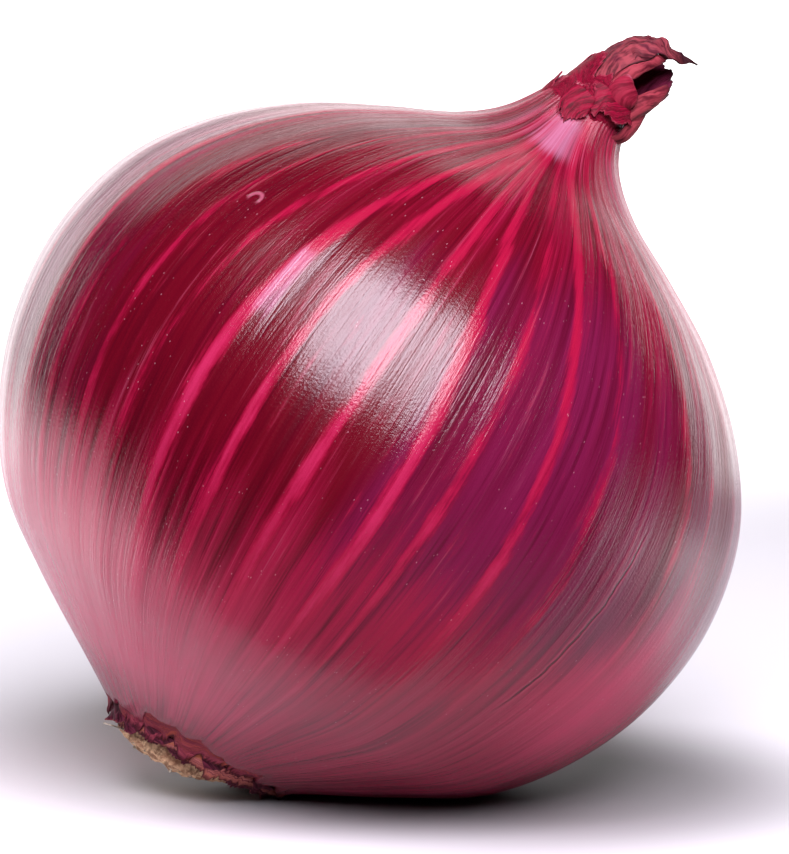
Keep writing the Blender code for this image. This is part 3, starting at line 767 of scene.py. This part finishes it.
def neck(skins):
    """The skin's torn cuff and crown, and the dry scales that stand round the hollow."""
    crimson = (skins["crimson"], "bulb", "glossy_skin")
    torn_sleeve("cuff", CUFF_PATH, CUFF_TEETH, CUFF_SHORTEST, crimson)
    torn_sleeve("crown", CROWN_PATH, CROWN_TEETH, CROWN_SHORTEST, crimson)
    loft("broad_flake", BROAD_FLAKE, crimson, 6, 0.5, rows=36, columns=60)
    loft("left_shard", LEFT_SHARD, crimson, 7, 0.5, rows=40, columns=48, crumple=0.08)
    loft("right_flake", RIGHT_FLAKE, (skins["salmon"], *crimson[1:]), 8, 0.08, rows=40, columns=24)
    hood, salmon, inner, folded = (
        (skins[name], "neck_scales", "dry_neck") for name in ("hood", "salmon", "inner", "folded")
    )
    loft("hood", HOOD, hood, 1, 0.04, rows=80, columns=60, crumple=0.3, wave=1.1)
    loft("under_hood", UNDER_HOOD, salmon, 2, 0.05, columns=24)
    loft("back_wall", BACK_WALL, inner, 3, 0.16, columns=90, wave=2.6)
    loft("lower_lip", LOWER_LIP, salmon, 4, 0.08, crumple=0.15)
    loft("fold", FOLD, folded, 5, 0.03)
    neck_core(skins["inner"])


def neck_core(finish):
    """The dry heart of the neck, deep in its hollow."""
    angle = ring_angles(CORE_COLUMNS)
    core = []
    for station, radius in CORE_PROFILE:
        core.append(round_axis(radius, angle, station, bend(station)))
    core = np.array(core)
    core += waves(core, 1.5, 0.25)
    faces = closed_tube(len(core), CORE_COLUMNS)
    made = piece("neck_core", core, faces, finish, "neck_scales", "dry_neck")
    add_attribute(made.data, "place", np.tile([0.0, 0.0, 0.2], (core.size // 3, 1)))


def frill(skins):
    """The layers of torn skin round the root plate, and the flaps that lift from them."""
    skirt, scrap, frill_skin, pale = (
        (skins[name], "root_frill", "torn_skin") for name in ("skirt", "scrap", "frill", "pale")
    )
    for name, path, teeth, shortest, kind, crumple, ragged in (
        ("skirt_outer", SKIRT_OUTER, (21, 32, 0.6, 1.0, 0.4), 0.55, skirt, 0.4, 0.09),
        ("skirt_middle", SKIRT_MIDDLE, (23, 34, 0.5, 1.0, 0.5), 0.45, scrap, 0.3, 0.09),
        ("skirt_inner", SKIRT_INNER, (19, 33, 0.5, 1.0, 0.6), 0.35, frill_skin, 0.25, 0.07),
    ):
        torn_sleeve(name, path, seeded_teeth(*teeth), shortest, kind, at_base=True, columns=720, levels=16,
                    crumple=crumple, ragged=ragged)
    for k, flap in enumerate(FRILL_FLAPS):
        loft(f"flap_{k}", flap_rails(*flap), frill_skin, 20 + k, 0.25, rows=24, columns=24, crumple=0.3,
             thickness=0.25)
    loft("pale_scrap", PALE_SCRAP, pale, 9, 0.3, rows=24, columns=60, crumple=0.25)


# The root plate


def plate_bottom(x, y):
    """The station of the root plate's underside."""
    worn = PLATE_WEAR * np.maximum(0.0, x - PLATE_WEAR_START) ** 2
    rounded = 0.7 * (np.hypot(x, y) / PLATE_RADIUS) ** 6
    bumps = 0.22 * np.sin(1.9 * x + 0.6) * np.cos(2.3 * y) + 0.12 * np.sin(3.7 * y + 1.1 * x)
    return PLATE_BOTTOM + worn + rounded + bumps


def root_plate(finish, root_finish):
    """The corky plate, the stubs of its dried roots, and one longer root."""
    angle = ring_angles(PLATE_COLUMNS)
    uneven = 1 + 0.03 * np.sin(5 * angle + 1) + 0.015 * np.sin(11 * angle)
    grid = []
    for k in range(1, PLATE_RINGS + 1):
        reach = PLATE_RADIUS * uneven * (k / PLATE_RINGS) ** 0.8
        x, y = reach * np.cos(angle), reach * np.sin(angle)
        grid.append(np.stack([x, y, plate_bottom(x, y)], -1))
    for share in (0.25, 0.5, 0.75, 1.0):
        side = grid[PLATE_RINGS - 1].copy()
        side[:, 2] += (base_end(side[:, 0]) - GAP - side[:, 2]) * share
        grid.append(side)
    grid = np.array(grid)
    grid[:PLATE_RINGS] += waves(grid[:PLATE_RINGS], 1.1, 0.22, 3)
    corky_piece("plate", grid, closed_tube(len(grid), PLATE_COLUMNS, True), finish)
    dried_root("long_root", [np.array(p) for p in LONG_ROOT], 0.12, root_finish)
    root_stubs(root_finish)


def root_stubs(finish):
    """Short stubs of dried roots, spread evenly over the plate."""
    draw = random.Random(SEED + 4)
    golden = math.pi * (3 - math.sqrt(5))
    for i in range(ROOT_STUBS):
        reach = 0.93 * PLATE_RADIUS * math.sqrt((i + 0.5) / ROOT_STUBS)
        x, y = reach * math.cos(i * golden), reach * math.sin(i * golden)
        length = draw.uniform(0.15, 0.5) * (1 - 0.7 * float(ramp(x, -2, 6)))
        start = np.array([x, y, float(plate_bottom(x, y)) + 0.3])
        aside = [0.08 * x + draw.uniform(-0.3, 0.3), 0.08 * y + draw.uniform(-0.3, 0.3), -1]
        splay = np.array(aside) * length
        line = [start, start + splay * 0.6 + np.array([draw.uniform(-0.1, 0.1), 0, 0]), start + splay]
        dried_root(f"root_{i}", line, draw.uniform(0.14, 0.26), finish)


def dried_root(name, line, radius, finish):
    """A thin dried root along three points, wrinkled, with a broken tip."""
    path = smooth_curve(line, 5)
    angle = ring_angles(ROOT_SIDES)
    along = path[-1] - path[0]
    along /= np.linalg.norm(along)
    side = np.cross(along, [0.3, 1, 0.1])
    side /= np.linalg.norm(side)
    other = np.cross(along, side)
    grid = []
    for k, point in enumerate(path):
        share = k / (len(path) - 1)
        size = radius * (1 - 0.35 * share) * (1 + 0.12 * math.sin(9 * share + radius * 40))
        grid.append(point + size * (np.cos(angle)[:, None] * side + np.sin(angle)[:, None] * other))
    corky_piece(name, np.array(grid), closed_tube(len(grid), ROOT_SIDES), finish)


def corky_piece(name, grid, faces, finish):
    """A piece of the root plate, whose texture follows its place in the onion's own frame."""
    made = piece(name, grid, faces, finish, "root_plate", "corky_plate")
    add_attribute(made.data, "place", grid.reshape(-1, 3))


# Materials


class Nodes:
    """Short names for building the nodes of a material or of the world."""

    def __init__(self, name, kind="materials"):
        self.owner = getattr(bpy.data, kind).new(name)
        self.owner.use_nodes = True
        self.tree = self.owner.node_tree

    def put(self, socket, value):
        """Links a socket to another, or sets its value."""
        if isinstance(value, bpy.types.NodeSocket):
            self.tree.links.new(value, socket)
        else:
            socket.default_value = (*value, 1) if socket.type == "RGBA" else value

    def make(self, kind, given=None, **settings):
        """A node with these settings, and these values or links in its sockets."""
        node = self.tree.nodes.new(kind)
        for key, value in settings.items():
            setattr(node, key, value)
        for socket, value in (given or {}).items():
            self.put(node.inputs[socket], value)
        return node

    def attribute(self, name, part="Fac"):
        return self.make("ShaderNodeAttribute", attribute_name=name).outputs[part]

    def math(self, operation, a, b=0.0, c=0.0):
        return self.make("ShaderNodeMath", {0: a, 1: b, 2: c}, operation=operation).outputs[0]

    def vector(self, operation, a, b):
        """A vector operation's result, which is a number for a distance or a dot product."""
        node = self.make("ShaderNodeVectorMath", {0: a, 1: b}, operation=operation)
        return node.outputs["Value" if operation in ("DISTANCE", "DOT_PRODUCT") else "Vector"]

    def part_of(self, vector, axis):
        return self.make("ShaderNodeSeparateXYZ", {0: vector}).outputs[axis]

    def noise(self, place, stretch, scale, detail=2.0, rough=0.5):
        """Noise at a place, whose features are drawn out along each axis with a small stretch factor."""
        place = self.vector("MULTIPLY", place, stretch) if stretch else place
        given = {"Vector": place, "Scale": scale, "Detail": detail, "Roughness": rough}
        return self.make("ShaderNodeTexNoise", given).outputs["Fac"]

    def vary(self, value, texture, amount):
        """value moved up and down by a noise."""
        return self.math("MULTIPLY_ADD", self.math("SUBTRACT", texture, 0.5), amount, value)

    def range(self, value, low, high, to_low=0.0, to_high=1.0, kind="SMOOTHSTEP"):
        """value carried from low..high to to_low..to_high, and held at the ends."""
        given = dict(enumerate((value, low, high, to_low, to_high)))
        return self.make("ShaderNodeMapRange", given, interpolation_type=kind).outputs[0]

    def mix(self, share, a, b):
        return self.make("ShaderNodeMix", {0: share, 6: a, 7: b}, data_type="RGBA").outputs[2]

    def cover(self, under, over, value, low, high, most=1.0):
        """A colour laid over another, not at all where value is low and up to most where it is high."""
        return self.mix(self.range(value, low, high, 0.0, most), under, over)

    def bump(self, height, strength, distance):
        given = {"Height": height, "Strength": strength, "Distance": distance}
        return self.make("ShaderNodeBump", given).outputs[0]

    def finish(self, **values):
        """The material, with its surface's inputs set."""
        surface = self.tree.nodes["Principled BSDF"]
        for name, value in values.items():
            self.put(surface.inputs[name.replace("_", " ")], value)
        return self.owner


def glossy_skin():
    """Dark maroon skin with crimson streaks from base to neck, fine fibres, and dust."""
    n = Nodes("glossy_skin")
    around = n.attribute("around", "Vector")
    station = n.part_of(around, 2)
    fibre = n.noise(around, (1, 1, 0.04), 1.1, 3, 0.6)
    hair = n.noise(around, (1, 1, 0.03), 4.0, 3, 0.6)
    strands = n.vary(fibre, hair, 0.6)
    skin = skin_ground(n, around, station, strands)
    skin = skin_streaks(n, skin, around, station, strands)
    skin = skin_wear(n, skin, around, strands)
    edge, split = dry_split(n, around, station)
    hook = scar(n, around)
    for mark, share, colour in ((edge, 0.3, SPLIT_EDGE), (split, 0.85, SPLIT_GAP), (hook, 0.45, SCAR_PALE)):
        skin = n.mix(n.math("MULTIPLY", mark, share), skin, colour)
    height = n.math("MULTIPLY_ADD", hair, 0.5, fibre)
    grit = n.noise(around, None, 3.5, 2, 0.6)
    for mark, amount in ((hook, 0.6), (grit, 0.35), (split, -1.5)):
        height = n.math("MULTIPLY_ADD", mark, amount, height)
    gloss = n.math("ADD", n.range(strands, 0.3, 0.7, 0.15, 0.24), n.range(station, 24, 34, 0.0, 0.08))
    return n.finish(Base_Color=skin, Roughness=gloss, IOR=1.43, Normal=n.bump(height, 0.4, 0.00022),
                    Sheen_Weight=0.06, Sheen_Roughness=0.35, Sheen_Tint=(1.0, 0.35, 0.55))


def skin_ground(n, around, station, strands):
    """Maroon ground, purple or crimson in places, with darker strands and bands."""
    broad = n.noise(around, (1, 1, 0.12), 0.22)
    band = n.noise(around, (1, 1, 0.05), 0.45)
    purple = n.vary(n.attribute("purple"), broad, 1.4)
    purple = n.math("SUBTRACT", purple, n.range(station, 18, 32, 0.0, 0.7))
    ground = n.cover(MAROON, PURPLISH, purple, 0.15, 0.95)
    rosy = n.vary(n.vary(n.attribute("rosy"), strands, 1.2), band, 1.6)
    ground = n.cover(ground, CRIMSON, rosy, 0.1, 1.2)
    ground = n.cover(ground, DARK_STRAND, strands, 0.5, 0.2, 0.5)
    return n.cover(ground, DARK_BAND, band, 0.48, 0.3, 0.5)


def skin_streaks(n, skin, around, station, strands):
    """Broken crimson streaks along the veins, brightest in their middle."""
    broken = n.noise(around, (1, 1, 0.25), 0.6, 4, 0.65)
    vein = n.vary(n.vary(n.attribute("vein"), broken, 1.5), strands, 0.8)
    skin = n.cover(skin, STREAK, vein, 0.12, 0.75, 0.75)
    bright = n.cover(STREAK_AT_BASE, STREAK_AT_NECK, station, -4, 16)
    return n.cover(skin, bright, vein, 0.4, 1.25, 0.9)


def skin_wear(n, skin, around, strands):
    """The dry places at the neck with painted highlights among them, the pale ones near the base with a
    painted reflection and painted light, the torn hem, and dust.
    """
    for name, (broken_up, colour, low, high, most) in WORN_AND_PAINTED_LIGHT_PLACES.items():
        skin = n.cover(skin, colour, n.vary(n.attribute(name), strands, broken_up), low, high, most)
    return n.mix(n.math("MULTIPLY", dust(n, around), 0.3), skin, DUST)


def dust(n, around):
    """Pale specks, gathered in a few places."""
    given = {"Vector": n.vector("MULTIPLY", around, (1, 1, 0.7)), "Scale": 1.5}
    specks = n.make("ShaderNodeTexVoronoi", given, feature="F1")
    near = n.range(specks.outputs["Distance"], 0.13, 0.05)
    few = n.range(n.noise(around, None, 0.25), 0.5, 0.62)
    return n.math("MULTIPLY", near, few)


def scar(n, around):
    """A small raised pale hook, open towards the base."""
    degrees, station, radius = SCAR
    turn = math.radians(degrees)
    centre = (GIRTH * math.cos(turn), GIRTH * math.sin(turn), station)
    off = n.math("ABSOLUTE", n.math("SUBTRACT", n.vector("DISTANCE", around, centre), radius))
    upper = n.range(n.part_of(n.vector("SUBTRACT", around, centre), 2), -0.5, 0.1)
    return n.math("MULTIPLY", n.range(off, 0.32, 0.05), upper)


def dry_split(n, around, station):
    """The lifted edge and the gap of a thin split in the skin."""
    turn = math.radians(SPLIT_AZIMUTH)
    across = n.vector("DOT_PRODUCT", around, (-math.sin(turn), math.cos(turn), SPLIT_SLOPE))
    wobble = n.math("MULTIPLY_ADD", n.noise(around, None, 0.35), 0.7, -0.35)
    away = n.math("ABSOLUTE", n.math("ADD", across, wobble))
    facing = n.vector("DOT_PRODUCT", around, (math.cos(turn), math.sin(turn), 0))
    here = n.math("GREATER_THAN", facing, 0)
    low, high = SPLIT_STATIONS
    here = n.math("MULTIPLY", here, n.range(station, low, low + 6))
    here = n.math("MULTIPLY", here, n.range(station, high, high - 4))
    edge = n.math("MULTIPLY", n.range(away, 0.55, 0.2), here)
    return edge, n.math("MULTIPLY", n.range(away, 0.2, 0.06), here)


def torn_skin(name, deep, bright, edge, edge_from, blotches=None, rough=0.6):
    """Thin dry skin with fibres along it, patchy, and another colour at its torn edges."""
    n = Nodes(f"{name}_skin")
    place = n.attribute("place", "Vector")
    fibre = n.noise(place, (1.0, 0.09, 0), 2.4, 3, 0.6)
    patchy = n.noise(place, (0.8, 0.5, 0), 0.9, 3, 0.6)
    tone = n.math("MULTIPLY_ADD", fibre, 0.7, n.math("MULTIPLY", patchy, 0.5))
    colour = n.cover(deep, bright, tone, 0.46, 0.7)
    if blotches:
        colour = n.cover(colour, blotches, n.noise(place, (1, 0.7, 0), 0.35, 3, 0.55), 0.5, 0.62, 0.8)
    worn = n.vary(n.part_of(place, 2), fibre, 0.25)
    colour = n.cover(colour, edge, worn, edge_from, 1.0, 0.9)
    height = n.math("MULTIPLY_ADD", patchy, 0.6, fibre)
    return n.finish(Base_Color=colour, Roughness=rough, Specular_IOR_Level=0.06,
                    Normal=n.bump(height, 0.6, 0.00025))


def corky_plate():
    """Dry tan cork, mottled brown, darker in its hollows."""
    n = Nodes("corky_plate")
    place = n.attribute("place", "Vector")
    grain = n.noise(place, None, 1.6, 4, 0.65)
    colour = n.cover((0.20, 0.092, 0.045), (0.72, 0.47, 0.27), grain, 0.35, 0.65)
    colour = n.cover(colour, (0.32, 0.14, 0.07), n.noise(place, None, 0.5), 0.5, 0.7, 0.6)
    return n.finish(Base_Color=colour, Roughness=0.85, Normal=n.bump(grain, 0.8, 0.0004))


def dry_root():
    """Pale grey-brown dried roots."""
    n = Nodes("dry_root")
    grain = n.noise(n.attribute("place", "Vector"), None, 2.5, 3, 0.6)
    colour = n.cover((0.24, 0.19, 0.13), (0.55, 0.48, 0.38), grain, 0.35, 0.65)
    return n.finish(Base_Color=colour, Roughness=0.8, Normal=n.bump(grain, 0.5, 0.0002))


# Floor, light and camera


def view_axes():
    """The camera's right, up and back directions, and back held level."""
    a, e = CAMERA_AZIMUTH, CAMERA_ELEVATION
    back = Vector((math.sin(a) * math.cos(e), -math.cos(a) * math.cos(e), math.sin(e)))
    right = Vector((0, 0, 1)).cross(back).normalized()
    return right, back.cross(right), back, Vector((back.x, back.y, 0)).normalized()


def add_camera():
    """The camera at the photograph's angle, with the widest circle's centre where the photograph has it."""
    right, up, back, _ = view_axes()
    pixels = PICTURE_HEIGHT * LENS / SENSOR / CAMERA_DISTANCE
    aside = (PICTURE_WIDTH / 2 - CENTRE_PIXEL[0]) / pixels
    above = (CENTRE_PIXEL[1] - PICTURE_HEIGHT / 2) / pixels
    target = Vector((0, 0, CENTRE_HEIGHT * MM)) + right * aside + up * above
    data = bpy.data.cameras.new("camera")
    data.lens = LENS
    data.sensor_width = SENSOR
    data.clip_start = 0.01
    made = add_object("camera", data)
    made.location = target + back * CAMERA_DISTANCE
    made.rotation_mode = "QUATERNION"
    made.rotation_quaternion = back.to_track_quat("Z", "Y")
    bpy.context.scene.camera = made


def soft_box(name, to_right, above, distance, width, height, brightness, tint, turned):
    """A soft light that faces the onion: an oval one if it is turned, or else one with corners."""
    right, _, _, level = view_axes()
    turn, rise = math.radians(to_right), math.radians(above)
    aim = (level * math.cos(turn) + right * math.sin(turn)) * math.cos(rise)
    aim += Vector((0, 0, math.sin(rise)))
    data = bpy.data.lights.new(name, "AREA")
    data.shape = "ELLIPSE" if turned else "RECTANGLE"
    data.size = width
    data.size_y = height
    data.energy = brightness * math.pi * width * height
    data.color = tint
    made = add_object(name, data)
    made.location = Vector((0, 0, CENTRE_HEIGHT * MM)) + aim * distance
    made.rotation_mode = "QUATERNION"
    made.rotation_quaternion = aim.to_track_quat("Z", "Y") @ Quaternion((0, 0, 1), -math.radians(turned))
    made.visible_camera = False


def pale_floor():
    """A matt pale floor with a painted shadow where the onion rests, that glows softly further out."""
    right = view_axes()[0]
    n = Nodes("pale_floor")
    place = n.make("ShaderNodeTexCoord").outputs["Object"]
    glow = n.range(n.vector("DISTANCE", place, right * GLOW_ASIDE), *GLOW_REACH, 0.0, GLOW_STRENGTH)
    for aside, radius, strength in GLOW_PATCHES:
        near = n.vector("DISTANCE", place, right * aside)
        glow = n.math("ADD", glow, n.range(near, radius, PATCH_MIDDLE, 0.0, strength))
    # painted shadow round where the onion rests
    shade = n.cover(FLOOR_PAINTED_SHADOW, FLOOR_PALE, n.vector("DISTANCE", place, right * SHADE_ASIDE), *SHADE_REACH)
    return n.finish(Base_Color=shade, Roughness=0.7, Emission_Color=(1, 1, 1),
                    Emission_Strength=n.math("MAXIMUM", glow, 0.0))


def add_stage():
    """The floor, which curves up behind the onion into a backdrop that is lower at its right side."""
    right, _, _, level = view_axes()
    profile = [(FLOOR_FRONT, 0.0)]
    for a in np.linspace(0, math.pi / 2, 10):
        profile.append((FLOOR_BACK - SWEEP * math.sin(a), SWEEP - SWEEP * math.cos(a)))
    profile.append((FLOOR_BACK - SWEEP, BACKDROP_HEIGHT))
    points = []
    for reach, height in profile:
        for side, share in ((-FLOOR_HALF_WIDTH, 1.0), (FLOOR_HALF_WIDTH, BACKDROP_RIGHT)):
            points.append(level * reach + right * side + Vector((0, 0, height * share)))
    made = add_mesh("floor", points, grid_faces(len(profile), 2, False), pale_floor())
    made.location.z = FLOOR_LEVEL


def add_room():
    """A dim room, lighter from below, that looks white where the camera sees past the floor."""
    n = Nodes("studio", "worlds")
    dim = n.tree.nodes["Background"]
    height = n.part_of(n.make("ShaderNodeTexCoord").outputs["Generated"], 2)
    n.put(dim.inputs["Strength"], n.range(height, *ROOM_HEIGHTS, ROOM_BELOW, ROOM_ASIDE, "LINEAR"))
    n.put(dim.inputs["Color"], ROOM_COLOUR)
    white = n.make("ShaderNodeBackground", {"Color": (1, 1, 1)}).outputs[0]
    by_camera = n.make("ShaderNodeLightPath").outputs["Is Camera Ray"]
    mix = n.make("ShaderNodeMixShader", {0: by_camera, 1: dim.outputs[0], 2: white})
    n.put(n.tree.nodes["World Output"].inputs["Surface"], mix.outputs[0])
    bpy.context.scene.world = n.owner


def main():
    noise.seed_set(SEED)
    skins = {name: torn_skin(name, *looks) for name, looks in TORN_SKINS.items()}
    bulb_skin(glossy_skin())
    neck(skins)
    frill(skins)
    root_plate(corky_plate(), dry_root())
    add_stage()
    add_room()
    for name, light in LIGHTS.items():
        soft_box(name, *light)
    add_camera()
    bpy.context.scene.view_settings.view_transform = "Standard"


main()
